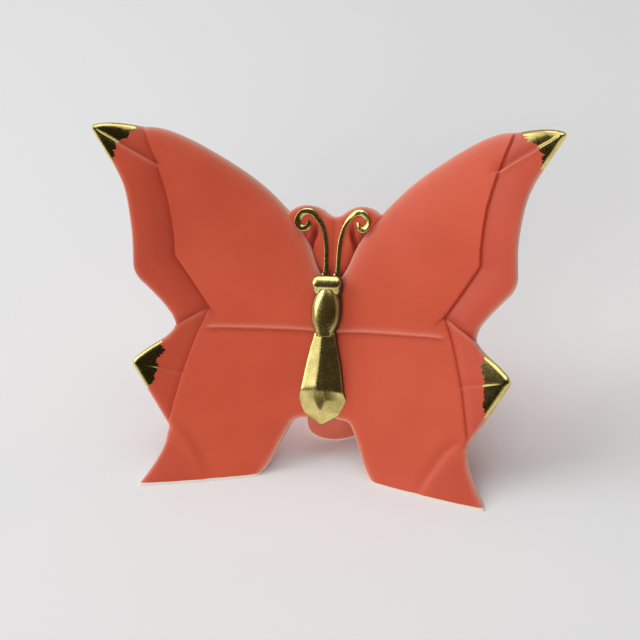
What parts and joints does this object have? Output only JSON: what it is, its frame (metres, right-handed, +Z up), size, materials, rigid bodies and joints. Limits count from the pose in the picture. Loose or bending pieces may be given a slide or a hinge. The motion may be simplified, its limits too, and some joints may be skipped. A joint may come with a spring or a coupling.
{
  "type": "butterfly ornament",
  "caption": "Free-standing porcelain butterfly leaning back, with folded coral wings and gilded body, antennae and wing tips, standing on its tail edges and a round foot.",
  "frame": {"origin": "middle of the overall box, on the floor", "axes": "+X to the right along the wing span, +Y from the front of the butterfly to its back, +Z up"},
  "size_m": [0.1438, 0.0636, 0.0948],
  "materials": {
    "coral_glaze": "satin coral glaze on porcelain",
    "gold_lustre": "bright gold lustre on porcelain"
  },
  "bodies": {
    "root": {"column": "coral_glaze", "crest": "coral_glaze", "left_forewing": "coral_glaze", "right_forewing": "coral_glaze", "left_hindwing": "coral_glaze", "right_hindwing": "coral_glaze", "abdomen": "gold_lustre", "thorax": "gold_lustre", "head": "gold_lustre", "left_antenna": "gold_lustre", "right_antenna": "gold_lustre"}
  },
  "joints": []
}
